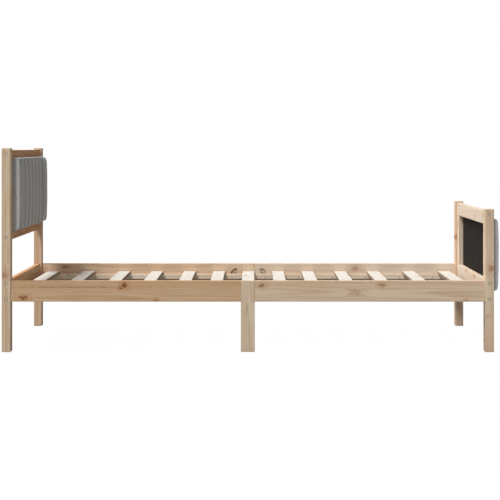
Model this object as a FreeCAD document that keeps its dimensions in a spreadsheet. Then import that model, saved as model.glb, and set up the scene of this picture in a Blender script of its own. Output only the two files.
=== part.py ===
"""Single bed frame in pine, with a channelled pad on the headboard and on the footboard.

X runs from the headboard to the footboard, Y across the bed and Z up from the floor. The origin is
on the floor under the middle of the whole bed. Right and left are those of a person lying in it,
so the right side is at -Y. Every length is in millimetres.
"""
import FreeCAD, Part
import math
import os
import re
import Sketcher
from FreeCAD import Placement, Rotation, Vector

SIZES = {
    # the whole bed
    "bed_length": 2076.0,
    "bed_width": 960.0,
    "head_height": 860.0,
    "foot_height": 603.0,
    # posts and boards
    "post_breadth": 38.0,
    "post_depth": 50.0,
    "board_thickness": 22.0,
    "frame_set_back": 8.0,
    "rail_set_back": 8.0,
    "edge_round": 3.0,
    # side rails and end rails
    "rail_height": 89.0,
    "rail_bottom": 212.0,
    # cross rails and stiles that carry the pads
    "cross_rail_height": 59.0,
    "top_rail_drop": 8.0,
    "pad_rail_drop": 391.0,
    "stile_width": 58.0,
    # middle legs
    "leg_width": 59.0,
    # ledgers and slats
    "ledger_height": 24.0,
    "ledger_depth": 20.0,
    "ledger_drop": 50.0,
    "ledger_gap": 0.5,
    "slat_width": 57.0,
    "slat_thickness": 13.0,
    "slat_gap": 1.5,
    "slat_round": 2.0,
    # pads
    "pad_height": 314.0,
    "pad_drop": 40.0,
    "pad_gap": 10.0,
    "pad_depth": 37.5,
    "pad_rim": 12.0,
    "pad_end_depth": 17.0,
    "pad_corner": 27.0,
    "pad_crown": 2.0,
    "channel_depth": 9.0,
    "channel_draw": 2.5,
    "end_draw": 4.0,
    "pad_board_thickness": 9.0,
    "pad_board_inset": 6.0,
    "pad_board_fit": 0.3,
    "cover_thickness": 1.0,
    "cover_inset": 14.0,
    # bolts, barrel nuts and dowels
    "bolt_diameter": 8.0,
    "bolt_head_diameter": 13.0,
    "bolt_head_height": 4.0,
    "bolt_head_bevel": 1.0,
    "bolt_key": 5.0,
    "bolt_key_depth": 2.5,
    "bolt_clearance": 0.25,
    "bolt_head_clearance": 0.8,
    "bolt_edge": 15.0,
    "end_bolt_edge": 12.0,
    "bolt_tail": 8.0,
    "nut_diameter": 10.0,
    "nut_length": 14.0,
    "nut_inset": 28.0,
    "nut_clearance": 0.2,
    "thread_clearance": 0.1,
    "dowel_diameter": 10.0,
    "dowel_length": 40.0,
    "dowel_chamfer": 1.5,
    "dowel_clearance": 0.2,
    "dowel_play": 0.5,
    "rail_dowel_offset": 20.0,
    "stile_dowel_inset": 12.0,
    # half-moon joints at the middle legs
    "moon_radius": 25.0,
    "moon_straight": 7.0,
    "moon_depth": 17.0,
    "moon_wall": 25.0,
    "stud_height": 40.0,
    "stud_inset": 9.0,
    "stud_tail": 3.0,
    "washer_height": 32.0,
    "washer_thickness": 6.0,
    "washer_depth": 14.0,
    "leg_nut_flats": 13.0,
    "leg_nut_height": 6.5,
    # screws that hold the pads
    "screw_diameter": 4.0,
    "screw_head_diameter": 8.0,
    "screw_head_height": 2.5,
    "screw_bite": 7.0,
    "screw_spread": 272.0,
    "screw_edge": 11.0,
    "screw_clearance": 0.1,
}
CHANNELS = 8
SECTIONS_PER_CHANNEL = 6
# Pitches of the slats from the middle outwards, as shares of the length from there to a post
SLAT_PITCHES = (0.142, 0.1585, 0.1715)
SLATS_PER_PITCH = 2
SIDES = (-1, 1)

doc = FreeCAD.newDocument("bed_frame")
sheet = doc.addObject("Spreadsheet::Sheet", "Sizes")
for row, (size_name, millimetres) in enumerate(SIZES.items(), start=1):
    sheet.set(f"A{row}", size_name)
    sheet.set(f"B{row}", str(millimetres))
    sheet.setAlias(f"B{row}", size_name)
doc.recompute()

# Places along the bed, from the middle between its posts
MIDDLE = "((frame_set_back - pad_depth) / 2)"
HEAD_X = f"({MIDDLE} - bed_length / 2)"
FOOT_X = f"({MIDDLE} + bed_length / 2 - post_breadth)"
HALF_LENGTH = "(bed_length / 2 - post_breadth)"
RAIL_LENGTH = f"({HALF_LENGTH} - leg_width / 2)"

# Places in an end frame, from the headward face of its posts
FRAME_FRONT = "(post_breadth - frame_set_back)"
FRAME_BACK = f"({FRAME_FRONT} - board_thickness)"
FRAME_CENTRE = f"({FRAME_FRONT} - board_thickness / 2)"

# Places across the bed
HALF_SPAN = "(bed_width / 2 - post_depth)"
HALF_PAD = f"({HALF_SPAN} - pad_gap)"
RAIL_INSIDE = "(bed_width / 2 - rail_set_back - board_thickness)"
RAIL_CENTRE = "(rail_set_back + board_thickness / 2)"
STILE_DOWEL = f"({HALF_SPAN} - stile_width + stile_dowel_inset)"

# Levels above the floor
RAIL_TOP = "(rail_bottom + rail_height)"
RAIL_MIDDLE = "(rail_bottom + rail_height / 2)"
LEDGER_TOP = f"({RAIL_TOP} - ledger_drop)"
STUD_LEVEL = "(rail_bottom + stud_height)"
HEAD_TOP_RAIL = "(head_height - top_rail_drop - cross_rail_height)"
FOOT_TOP_RAIL = "(foot_height - top_rail_drop - cross_rail_height)"
PAD_RAIL = "(head_height - pad_rail_drop)"
PAD_RAIL_TOP = f"({PAD_RAIL} + cross_rail_height)"
HEAD_PAD = "(head_height - pad_drop - pad_height)"
FOOT_PAD = "(foot_height - pad_drop - pad_height)"
HEAD_SCREWS = (f"({HEAD_TOP_RAIL} + screw_edge)", f"({PAD_RAIL_TOP} - screw_edge)")
FOOT_SCREWS = (f"({FOOT_TOP_RAIL} + screw_edge)", f"({RAIL_TOP} - screw_edge)")

# Levels of bolts and dowels above the lower edge of their own rail
END_RAIL_BOLTS = ("end_bolt_edge", "(rail_height - end_bolt_edge)")
LOW_IN_CROSS_RAIL = "bolt_edge"
HIGH_IN_CROSS_RAIL = "(cross_rail_height - bolt_edge)"

# Holes and how far they reach
BOLT_BORE = "(bolt_diameter / 2 + bolt_clearance)"
BOLT_HEAD_BORE = "(bolt_head_diameter / 2 + bolt_head_clearance)"
BOLT_REACH = "(nut_inset + bolt_tail)"
NUT_BORE = "(nut_diameter / 2 + nut_clearance)"
NUT_BORE_DEPTH = "(board_thickness / 2 + nut_length / 2)"
DOWEL_BORE = "(dowel_diameter / 2 + dowel_clearance)"
DOWEL_SOCKET = "(dowel_length / 2 + dowel_play)"
SCREW_BORE = "(screw_diameter / 2 + screw_clearance)"
SCREW_HEAD_BORE = "(screw_head_diameter / 2 + screw_clearance)"

AXES = {"x": Vector(1, 0, 0), "y": Vector(0, 1, 0), "z": Vector(0, 0, 1)}
POINTING = {
    "+x": Rotation(AXES["y"], 90),
    "-x": Rotation(AXES["y"], -90),
    "+y": Rotation(AXES["x"], -90),
    "-y": Rotation(AXES["x"], 90),
    "+z": Rotation(),
}
HALF_TURN = Rotation(AXES["z"], 180)
subparts = []


# Formulas and placing

def formula(text):
    """A formula in the names of the sheet, in the form that an expression takes."""
    return re.sub(r"[a-z_]+", lambda word: "Sizes." + word[0] if word[0] in SIZES else word[0], text)


def amount(text):
    """The number of millimetres that a formula in the names of the sheet gives."""
    return float(sheet.evalExpression(text))


def tie(obj, prop, text):
    """Ties one property of an object to a formula."""
    obj.setExpression(prop, formula(text))


def put(obj, x="0", y="0", z="0", turn=Rotation()):
    """Places an object at formulas for its three coordinates."""
    obj.Placement = Placement(Vector(0, 0, 0), turn)
    for axis, text in (("x", x), ("y", y), ("z", z)):
        tie(obj, f"Placement.Base.{axis}", text)


def subpart(kind, label):
    """A new object of the document that is written to a file of its own."""
    obj = doc.addObject(kind, label)
    obj.Label = label
    subparts.append(obj)
    return obj


# Boards and holes

def ease_edges(body, radius, along):
    """Rounds the edges of a body's last feature, all of them or those along one axis."""
    doc.recompute()
    solid = body.Tip
    names = []
    for number, edge in enumerate(solid.Shape.Edges, start=1):
        if along == "all" or edge.tangentAt(edge.FirstParameter).cross(AXES[along]).Length < 1e-6:
            names.append(f"Edge{number}")
    fillet = body.newObject("PartDesign::Fillet", "EasedEdges")
    fillet.Base = (solid, names)
    tie(fillet, "Radius", radius)
    doc.recompute()


def board(label, breadth, depth, height, y="0", eased="all", radius="edge_round"):
    """A body of one sawn board with eased edges, from the corner at (0, y, 0)."""
    body = subpart("PartDesign::Body", label)
    block = body.newObject("PartDesign::AdditiveBox", "Board")
    tie(block, "Length", breadth)
    tie(block, "Width", depth)
    tie(block, "Height", height)
    put(block, y=y)
    ease_edges(body, radius, eased)
    return body


def bore(body, along, radius, reach, x="0", y="0", z="0"):
    """Drills a hole from a point towards the positive end of an axis."""
    drill = body.newObject("PartDesign::SubtractiveCylinder", "Bore")
    tie(drill, "Radius", radius)
    tie(drill, "Height", reach)
    put(drill, x, y, z, POINTING[f"+{along}"])


def mirrored(label, source):
    """The same piece on the other side of the bed."""
    twin = subpart("Part::Mirroring", label)
    twin.Source = source
    twin.Normal = AXES["y"]


def origin_sketch(body, name, role):
    """An empty sketch on one of a body's own origin planes."""
    sketch = body.newObject("Sketcher::SketchObject", name)
    plane = next(item for item in body.Origin.OriginFeatures if item.Role == role)
    sketch.AttachmentSupport = [(plane, "")]
    sketch.MapMode = "FlatFace"
    return sketch


def measure(sketch, name, text, *rule):
    """Adds a named measure to a sketch, tied to a formula."""
    number = sketch.addConstraint(Sketcher.Constraint(*rule, amount(text)))
    sketch.renameConstraint(number, name)
    tie(sketch, f"Constraints.{name}", text)


# The wooden pieces

def post(label, height, x, is_head, bolt_levels, dowel_levels):
    """A corner post on the right side, drilled for its cross rails and its side rail."""
    body = board(label, "post_breadth", "post_depth", height)
    for level in bolt_levels:
        bore(body, "y", BOLT_BORE, "post_depth", FRAME_CENTRE, "0", level)
        bore(body, "y", BOLT_HEAD_BORE, "bolt_head_height", FRAME_CENTRE, "0", level)
    for level in dowel_levels:
        bore(body, "y", DOWEL_BORE, DOWEL_SOCKET, FRAME_CENTRE, f"post_depth - {DOWEL_SOCKET}", level)
    bolt_head_at = "0" if is_head else "post_breadth - bolt_head_height"
    bore(body, "x", BOLT_BORE, "post_breadth", "0", RAIL_CENTRE, RAIL_MIDDLE)
    bore(body, "x", BOLT_HEAD_BORE, "bolt_head_height", bolt_head_at, RAIL_CENTRE, RAIL_MIDDLE)
    socket_at = f"post_breadth - {DOWEL_SOCKET}" if is_head else "0"
    for side in SIDES:
        level = f"{RAIL_MIDDLE} + {side} * rail_dowel_offset"
        bore(body, "x", DOWEL_BORE, DOWEL_SOCKET, socket_at, RAIL_CENTRE, level)
    put(body, x, "-bed_width / 2")
    return body


def cross_rail(label, x, z, height, is_head, bolts, dowels=(), stile_sockets=(), screws=()):
    """A rail between two posts; bolts, dowels and sockets are measured up from its lower edge."""
    body = board(label, "board_thickness", f"2 * {HALF_SPAN}", height, f"-{HALF_SPAN}", eased="y")
    middle = "board_thickness / 2"
    nut_bore_at = "0" if is_head else f"board_thickness - {NUT_BORE_DEPTH}"
    for side in SIDES:
        for level in bolts:
            start = f"-{HALF_SPAN}" if side < 0 else f"{HALF_SPAN} - {BOLT_REACH}"
            nut_y = f"{side} * ({HALF_SPAN} - nut_inset)"
            bore(body, "y", BOLT_BORE, BOLT_REACH, middle, start, level)
            bore(body, "x", NUT_BORE, NUT_BORE_DEPTH, nut_bore_at, nut_y, level)
        for level in dowels:
            start = f"-{HALF_SPAN}" if side < 0 else f"{HALF_SPAN} - {DOWEL_SOCKET}"
            bore(body, "y", DOWEL_BORE, DOWEL_SOCKET, middle, start, level)
        for level in stile_sockets:
            bore(body, "z", DOWEL_BORE, DOWEL_SOCKET, middle, f"{side} * {STILE_DOWEL}", level)
        for level in screws:
            screw_y = f"{side} * screw_spread / 2"
            bore(body, "x", SCREW_BORE, "board_thickness", "0", screw_y, f"{level} - {z}")
            bore(body, "x", SCREW_HEAD_BORE, "screw_head_height", "0", screw_y, f"{level} - {z}")
    put(body, f"{x} + {FRAME_BACK}", "0", z)


def stile(label, x, foot, top):
    """An upright on the right side, between two cross rails and against the post."""
    length = f"({top} - {foot})"
    body = board(label, "board_thickness", "stile_width", length, eased="z")
    for start in ("0", f"{length} - {DOWEL_SOCKET}"):
        bore(body, "z", DOWEL_BORE, DOWEL_SOCKET, "board_thickness / 2",
             "stile_width - stile_dowel_inset", start)
    put(body, f"{x} + {FRAME_BACK}", f"-{HALF_SPAN}", foot)
    return body


def half_moon_recess(body):
    """Cuts the recess for a nut into the inner face of a side rail, beside the middle leg."""
    sketch = origin_sketch(body, "HalfMoon", "XZ_Plane")
    tie(sketch, "AttachmentOffset.Base.z", "-board_thickness")
    wall, level = amount(f"{RAIL_LENGTH} - moon_wall"), amount("stud_height")
    radius = amount("moon_radius")
    centre = Vector(wall - amount("moon_straight"), level, 0)
    rise = Vector(0, radius, 0)
    corner = Vector(wall, level, 0)
    half_circle = Part.ArcOfCircle(Part.Circle(centre, AXES["z"], radius), math.pi / 2, 3 * math.pi / 2)
    sketch.addGeometry([
        Part.LineSegment(corner - rise, corner + rise),
        Part.LineSegment(corner + rise, centre + rise),
        half_circle,
        Part.LineSegment(centre - rise, corner - rise),
    ])
    for rule in (("Coincident", 0, 2, 1, 1), ("Tangent", 1, 2, 2, 1), ("Tangent", 2, 2, 3, 1),
                 ("Coincident", 3, 2, 0, 1), ("Vertical", 0), ("Horizontal", 1)):
        sketch.addConstraint(Sketcher.Constraint(*rule))
    measure(sketch, "radius", "moon_radius", "Radius", 2)
    measure(sketch, "straight", "moon_straight", "DistanceX", 1, 2, 1, 1)
    measure(sketch, "wall", f"{RAIL_LENGTH} - moon_wall", "DistanceX", -1, 1, 0, 1)
    measure(sketch, "level", "stud_height", "DistanceY", -1, 1, 2, 3)
    recess = body.newObject("PartDesign::Pocket", "HalfMoonRecess")
    recess.Profile = sketch
    recess.Reversed = True
    tie(recess, "Length", "moon_depth")


def side_rail(label, turned):
    """Half of a side rail, from its post to the middle leg."""
    body = board(label, RAIL_LENGTH, "board_thickness", "rail_height", eased="x")
    middle, level = "board_thickness / 2", "rail_height / 2"
    bore(body, "x", BOLT_BORE, BOLT_REACH, "0", middle, level)
    bore(body, "y", NUT_BORE, NUT_BORE_DEPTH, "nut_inset", f"board_thickness - {NUT_BORE_DEPTH}", level)
    for side in SIDES:
        bore(body, "x", DOWEL_BORE, DOWEL_SOCKET, "0", middle, f"{level} + {side} * rail_dowel_offset")
    bore(body, "x", BOLT_BORE, "moon_wall", f"{RAIL_LENGTH} - moon_wall",
         "board_thickness - stud_inset", "stud_height")
    half_moon_recess(body)
    if turned:
        put(body, FOOT_X, "bed_width / 2 - rail_set_back", "rail_bottom", HALF_TURN)
    else:
        put(body, f"{HEAD_X} + post_breadth", "rail_set_back - bed_width / 2", "rail_bottom")
    return body


def ledger(label, turned):
    """The batten on the inside of a half rail; it runs on over half of the middle leg."""
    length = f"({RAIL_LENGTH} + leg_width / 2 - 2 * ledger_gap)"
    body = board(label, length, "ledger_depth", "ledger_height", eased="x", radius="slat_round")
    level = f"{LEDGER_TOP} - ledger_height"
    if turned:
        put(body, f"{FOOT_X} - ledger_gap", RAIL_INSIDE, level, HALF_TURN)
    else:
        put(body, f"{HEAD_X} + post_breadth + ledger_gap", f"-{RAIL_INSIDE}", level)
    return body


def middle_leg(label):
    """The leg on the right side that the two halves of the rail are bolted to."""
    body = board(label, "leg_width", "board_thickness", RAIL_TOP)
    bore(body, "x", BOLT_BORE, "leg_width", "0", "board_thickness - stud_inset", STUD_LEVEL)
    put(body, f"{MIDDLE} - leg_width / 2", "rail_set_back - bed_width / 2")
    return body


def slat(label, offset):
    """A slat on the two ledgers, that far from the middle between the posts."""
    body = board(label, "slat_width", f"2 * ({RAIL_INSIDE} - slat_gap)", "slat_thickness",
                 eased="y", radius="slat_round")
    put(body, f"{MIDDLE} + {offset} - slat_width / 2", f"slat_gap - {RAIL_INSIDE}", LEDGER_TOP)


def slat_offsets():
    """Formulas for the slats' places, close together in the middle and further apart at the ends."""
    pitches = [pitch for pitch in SLAT_PITCHES for _ in range(SLATS_PER_PITCH)]
    footward = [f"{sum(pitches[:count]):.4f} * {HALF_LENGTH}" for count in range(1, len(pitches) + 1)]
    return [f"-{place}" for place in reversed(footward)] + ["0"] + footward


# The pads

def cushion_section(y, depth, draw):
    """The outline of a cushion at y: its front that deep in the middle, its edges drawn in."""
    back, rim, height = amount("cover_thickness"), amount("pad_rim"), amount("pad_height")
    corner, front = amount("pad_corner"), depth - amount("pad_crown")
    low, high = draw, height - draw
    belly, lift = (front - rim) * math.sin(math.pi / 4), corner * (1 - math.cos(math.pi / 4))
    points = [(back, low), (rim, low), (front, low + corner),
              (front, high - corner), (rim, high), (back, high)]
    bulges = {1: (rim + belly, low + lift), 2: (depth, height / 2), 3: (rim + belly, high - lift)}
    corners = [Vector(x, y, z) for x, z in points]
    edges = []
    for number, start in enumerate(corners):
        end = corners[(number + 1) % len(corners)]
        if number in bulges:
            x, z = bulges[number]
            edges.append(Part.Arc(start, Vector(x, y, z), end).toShape())
        else:
            edges.append(Part.LineSegment(start, end).toShape())
    return Part.Wire(edges)


def cushion_channel(number):
    """One upright channel of a cushion, swelling from seam to seam or to the cushion's end."""
    width = amount(f"2 * {HALF_PAD}") / CHANNELS
    start = number * width - amount(HALF_PAD)
    crest = amount("pad_depth")
    sections = []
    for step in range(SECTIONS_PER_CHANNEL + 1):
        angle = math.pi * step / SECTIONS_PER_CHANNEL
        swell = math.sin(angle)
        end_channel = 0 if 2 * step < SECTIONS_PER_CHANNEL else CHANNELS - 1
        if number == end_channel:
            edge_depth, draw = amount("pad_end_depth"), amount("end_draw")
        else:
            edge_depth, draw = crest - amount("channel_depth"), amount("channel_draw")
        y = start + width * (1 - math.cos(angle)) / 2
        sections.append(cushion_section(y, edge_depth + (crest - edge_depth) * swell, draw * (1 - swell)))
    return Part.makeLoft(sections, True, False)


def cushion(label, x, z):
    """Foam and fabric of a pad, hollowed at the back for its board."""
    channels = [cushion_channel(number) for number in range(CHANNELS)]
    inset = amount("pad_board_inset - pad_board_fit")
    hollow = Part.makeBox(amount("pad_board_thickness"), amount(f"2 * {HALF_PAD}") - 2 * inset,
                          amount("pad_height") - 2 * inset)
    hollow.translate(Vector(amount("cover_thickness"), inset - amount(HALF_PAD), inset))
    piece = subpart("Part::Feature", label)
    piece.Shape = channels[0].multiFuse(channels[1:]).cut(hollow).Solids[0]
    put(piece, f"{x} + {FRAME_FRONT}", "0", z)


def pad_sheet(label, thickness, inset, start, hole_reach, x, z, screw_levels):
    """A flat sheet in a pad's back, that far in from its outline, with holes for the screws."""
    body = board(label, thickness, f"2 * ({HALF_PAD} - {inset})", f"pad_height - 2 * {inset}", eased="x")
    for side in SIDES:
        for level in screw_levels:
            bore(body, "x", SCREW_BORE, hole_reach, "0",
                 f"{HALF_PAD} - {inset} + {side} * screw_spread / 2", f"{level} - {z} - {inset}")
    put(body, f"{x} + {FRAME_FRONT} + {start}", f"{inset} - {HALF_PAD}", f"{z} + {inset}")


def pad(end, x, z, screw_levels):
    """A pad of the headboard or the footboard: cushion, plywood sheet and cloth over the back."""
    cushion(f"{end}_pad_cushion", x, z)
    pad_sheet(f"{end}_pad_board", "pad_board_thickness", "pad_board_inset", "cover_thickness",
              "screw_bite", x, z, screw_levels)
    pad_sheet(f"{end}_pad_dust_cover", "cover_thickness", "cover_inset", "0",
              "cover_thickness", x, z, screw_levels)


# Bolts, nuts, dowels, washers and screws, each made once and set out in groups

def turned(name, corners):
    """A body turned about its Z axis from corners given as formulas (radius, level)."""
    body = doc.addObject("PartDesign::Body", name)
    sketch = origin_sketch(body, "Profile", "XZ_Plane")
    points = [Vector(amount(radius), amount(level), 0) for radius, level in corners]
    for start, end in zip(points, points[1:] + points[:1]):
        sketch.addGeometry(Part.LineSegment(start, end))
    for number, (radius, level) in enumerate(corners):
        follower = (number + 1) % len(corners)
        sketch.addConstraint(Sketcher.Constraint("Coincident", number, 2, follower, 1))
        for axis, letter, text in ((-2, "X", radius), (-1, "Y", level)):
            if text == "0":
                sketch.addConstraint(Sketcher.Constraint("PointOnObject", number, 1, axis))
            else:
                name_of_measure = f"{letter.lower()}_of_{number}"
                measure(sketch, name_of_measure, text, f"Distance{letter}", -1, 1, number, 1)
    revolution = body.newObject("PartDesign::Revolution", "Turned")
    revolution.Profile = sketch
    revolution.ReferenceAxis = (sketch, ["V_Axis"])
    doc.recompute()
    return body


def headed(name, length, radius, head_radius, head_height, bevel):
    """A bolt or screw that points up, with the underside of its head at the origin."""
    return turned(name, [
        ("0", f"-{head_height}"), (f"{head_radius} - {bevel}", f"-{head_height}"),
        (head_radius, f"{bevel} - {head_height}"), (head_radius, "0"),
        (radius, "0"), (radius, length), ("0", length),
    ])


def bolt(name, through):
    """A bolt with a hexagon socket, long enough for a post of that thickness and its nut."""
    body = headed(name, f"{through} - bolt_head_height + {BOLT_REACH}", "bolt_diameter / 2",
                  "bolt_head_diameter / 2", "bolt_head_height", "bolt_head_bevel")
    socket = body.newObject("PartDesign::SubtractivePrism", "KeySocket")
    socket.Polygon = 6
    tie(socket, "Circumradius", f"bolt_key / {math.sqrt(3):.6f}")
    tie(socket, "Height", "bolt_key_depth")
    put(socket, z="-bolt_head_height")
    doc.recompute()
    return body


def barrel_nut():
    """A barrel nut about the origin, along Z, with its thread along X."""
    body = doc.addObject("PartDesign::Body", "barrel_nut")
    barrel = body.newObject("PartDesign::AdditiveCylinder", "Barrel")
    tie(barrel, "Radius", "nut_diameter / 2")
    tie(barrel, "Height", "nut_length")
    put(barrel, z="-nut_length / 2")
    bore(body, "x", "bolt_diameter / 2 + thread_clearance", "nut_diameter", "-nut_diameter / 2")
    doc.recompute()
    return body


def dowel():
    """A plain beech dowel about the origin, along Z, with bevelled ends."""
    half = "dowel_length / 2"
    radius = "dowel_diameter / 2"
    return turned("dowel", [
        ("0", f"-{half}"), (f"{radius} - dowel_chamfer", f"-{half}"), (radius, f"dowel_chamfer - {half}"),
        (radius, f"{half} - dowel_chamfer"), (f"{radius} - dowel_chamfer", half), ("0", half),
    ])


def half_moon_washer():
    """A washer with its flat face at X = 0 and its back bowed towards +X."""
    body = doc.addObject("PartDesign::Body", "half_moon_washer")
    sketch = origin_sketch(body, "Outline", "XZ_Plane")
    rise, bulge = amount("washer_height / 2"), amount("washer_thickness")
    low, high = Vector(0, -rise, 0), Vector(0, rise, 0)
    sketch.addGeometry([
        Part.LineSegment(high, low),
        Part.Arc(low, Vector(bulge, 0, 0), high),
    ])
    for rule in (("Coincident", 0, 2, 1, 1), ("Coincident", 1, 2, 0, 1), ("PointOnObject", 0, 1, -2),
                 ("PointOnObject", 0, 2, -2), ("PointOnObject", 1, 3, -1)):
        sketch.addConstraint(Sketcher.Constraint(*rule))
    measure(sketch, "rise", "washer_height / 2", "DistanceY", -1, 1, 0, 1)
    measure(sketch, "bow", "washer_height * washer_height / washer_thickness / 8 + washer_thickness / 2",
            "Radius", 1)
    pad_feature = body.newObject("PartDesign::Pad", "Washer")
    pad_feature.Profile = sketch
    pad_feature.SideType = "Symmetric"
    tie(pad_feature, "Length", "washer_depth")
    bore(body, "x", BOLT_BORE, "washer_thickness")
    doc.recompute()
    return body


def leg_nut():
    """A hexagon nut that stands on the origin, along Z."""
    body = doc.addObject("PartDesign::Body", "leg_nut")
    hexagon = body.newObject("PartDesign::AdditivePrism", "Hexagon")
    hexagon.Polygon = 6
    tie(hexagon, "Circumradius", f"leg_nut_flats / {math.sqrt(3):.6f}")
    tie(hexagon, "Height", "leg_nut_height")
    bore(body, "z", "bolt_diameter / 2 + thread_clearance", "leg_nut_height")
    doc.recompute()
    return body


def group(label, single, places):
    """Copies of one piece as separate solids; each place is (x, y, z, turn) with formulas."""
    copies = []
    for x, y, z, turn in places:
        copy = single.Shape.copy()
        copy.Placement = Placement(Vector(amount(x), amount(y), amount(z)), turn)
        copies.append(copy)
    piece = subpart("Part::Feature", label)
    piece.Shape = Part.makeCompound(copies)


def frame_fasteners(end, x, levels, single_bolt, single_nut):
    """The bolts and barrel nuts of the headboard's or the footboard's frame."""
    centre = f"{x} + {FRAME_CENTRE}"
    bolts, nuts = [], []
    for level in levels:
        for side, turn in ((-1, POINTING["+y"]), (1, POINTING["-y"])):
            bolts.append((centre, f"{side} * (bed_width / 2 - bolt_head_height)", level, turn))
            across = POINTING["+x"].multiply(Rotation(AXES["z"], 90))
            nuts.append((centre, f"{side} * ({HALF_SPAN} - nut_inset)", level, across))
    group(f"{end}_frame_bolts", single_bolt, bolts)
    group(f"{end}_frame_barrel_nuts", single_nut, nuts)


def rail_fasteners(single_bolt, single_nut, single_dowel):
    """The bolts, barrel nuts and dowels between the posts and the side rails."""
    bolts, nuts, dowels = [], [], []
    across = f"(bed_width / 2 - {RAIL_CENTRE})"
    ends = (
        (f"{HEAD_X} + bolt_head_height", f"{HEAD_X} + post_breadth", 1, POINTING["+x"]),
        (f"{FOOT_X} + post_breadth - bolt_head_height", FOOT_X, -1, POINTING["-x"]),
    )
    for seat, joint, inward, turn in ends:
        for side in SIDES:
            y = f"{side} * {across}"
            bolts.append((seat, y, RAIL_MIDDLE, turn))
            nuts.append((f"{joint} + {inward} * nut_inset", y, RAIL_MIDDLE, POINTING["+y"]))
            for above in SIDES:
                dowels.append((joint, y, f"{RAIL_MIDDLE} + {above} * rail_dowel_offset", turn))
    group("rail_bolts", single_bolt, bolts)
    group("rail_barrel_nuts", single_nut, nuts)
    group("rail_dowels", single_dowel, dowels)


def frame_dowels(single_dowel):
    """The dowels of the cross rails and the stiles."""
    places = []
    for side in SIDES:
        for x, level in ((HEAD_X, f"{HEAD_TOP_RAIL} + {LOW_IN_CROSS_RAIL}"),
                         (HEAD_X, f"{PAD_RAIL} + {HIGH_IN_CROSS_RAIL}"),
                         (FOOT_X, f"{FOOT_TOP_RAIL} + {LOW_IN_CROSS_RAIL}")):
            places.append((f"{x} + {FRAME_CENTRE}", f"{side} * {HALF_SPAN}", level, POINTING["+y"]))
        for x, level in ((HEAD_X, HEAD_TOP_RAIL), (HEAD_X, PAD_RAIL_TOP),
                         (FOOT_X, FOOT_TOP_RAIL), (FOOT_X, RAIL_TOP)):
            places.append((f"{x} + {FRAME_CENTRE}", f"{side} * {STILE_DOWEL}", level, POINTING["+z"]))
    group("frame_dowels", single_dowel, places)


def leg_fasteners():
    """The studs through the middle legs, with a washer and a nut in each half-moon recess."""
    wall = "(leg_width / 2 + moon_wall)"
    half_stud = f"({wall} + washer_thickness + leg_nut_height + stud_tail)"
    stud = turned("leg_stud", [("0", f"-{half_stud}"), ("bolt_diameter / 2", f"-{half_stud}"),
                               ("bolt_diameter / 2", half_stud), ("0", half_stud)])
    ways = ((1, Rotation(), POINTING["+x"]), (-1, HALF_TURN, POINTING["-x"]))
    studs, washers, nuts = [], [], []
    for side in SIDES:
        y = f"{side} * ({RAIL_INSIDE} + stud_inset)"
        studs.append((MIDDLE, y, STUD_LEVEL, POINTING["+x"]))
        for footward, washer_turn, nut_turn in ways:
            washers.append((f"{MIDDLE} + {footward} * {wall}", y, STUD_LEVEL, washer_turn))
            nuts.append((f"{MIDDLE} + {footward} * ({wall} + washer_thickness)", y, STUD_LEVEL, nut_turn))
    group("leg_studs", stud, studs)
    group("half_moon_washers", half_moon_washer(), washers)
    group("leg_nuts", leg_nut(), nuts)


def pad_screws():
    """The screws that come through the cross rails into the boards of the pads."""
    screw = headed("pad_screw", "board_thickness - screw_head_height + cover_thickness + screw_bite",
                   "screw_diameter / 2", "screw_head_diameter / 2", "screw_head_height", "0.5")
    for end, x, levels in (("head", HEAD_X, HEAD_SCREWS), ("foot", FOOT_X, FOOT_SCREWS)):
        seat = f"{x} + {FRAME_BACK} + screw_head_height"
        places = []
        for side in SIDES:
            for level in levels:
                places.append((seat, f"{side} * screw_spread / 2", level, POINTING["+x"]))
        group(f"{end}_pad_screws", screw, places)


# Headboard
head_bolts = [f"{HEAD_TOP_RAIL} + {HIGH_IN_CROSS_RAIL}", f"{PAD_RAIL} + {LOW_IN_CROSS_RAIL}"]
head_bolts += [f"rail_bottom + {level}" for level in END_RAIL_BOLTS]
head_dowels = [f"{HEAD_TOP_RAIL} + {LOW_IN_CROSS_RAIL}", f"{PAD_RAIL} + {HIGH_IN_CROSS_RAIL}"]
mirrored("head_post_left", post("head_post_right", "head_height", HEAD_X, True, head_bolts, head_dowels))
cross_rail("head_top_rail", HEAD_X, HEAD_TOP_RAIL, "cross_rail_height", True, [HIGH_IN_CROSS_RAIL],
           [LOW_IN_CROSS_RAIL], ["0"], [HEAD_SCREWS[0]])
cross_rail("head_pad_rail", HEAD_X, PAD_RAIL, "cross_rail_height", True, [LOW_IN_CROSS_RAIL],
           [HIGH_IN_CROSS_RAIL], [f"cross_rail_height - {DOWEL_SOCKET}"], [HEAD_SCREWS[1]])
cross_rail("head_end_rail", HEAD_X, "rail_bottom", "rail_height", True, END_RAIL_BOLTS)
mirrored("head_stile_left", stile("head_stile_right", HEAD_X, PAD_RAIL_TOP, HEAD_TOP_RAIL))
pad("head", HEAD_X, HEAD_PAD, HEAD_SCREWS)

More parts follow.
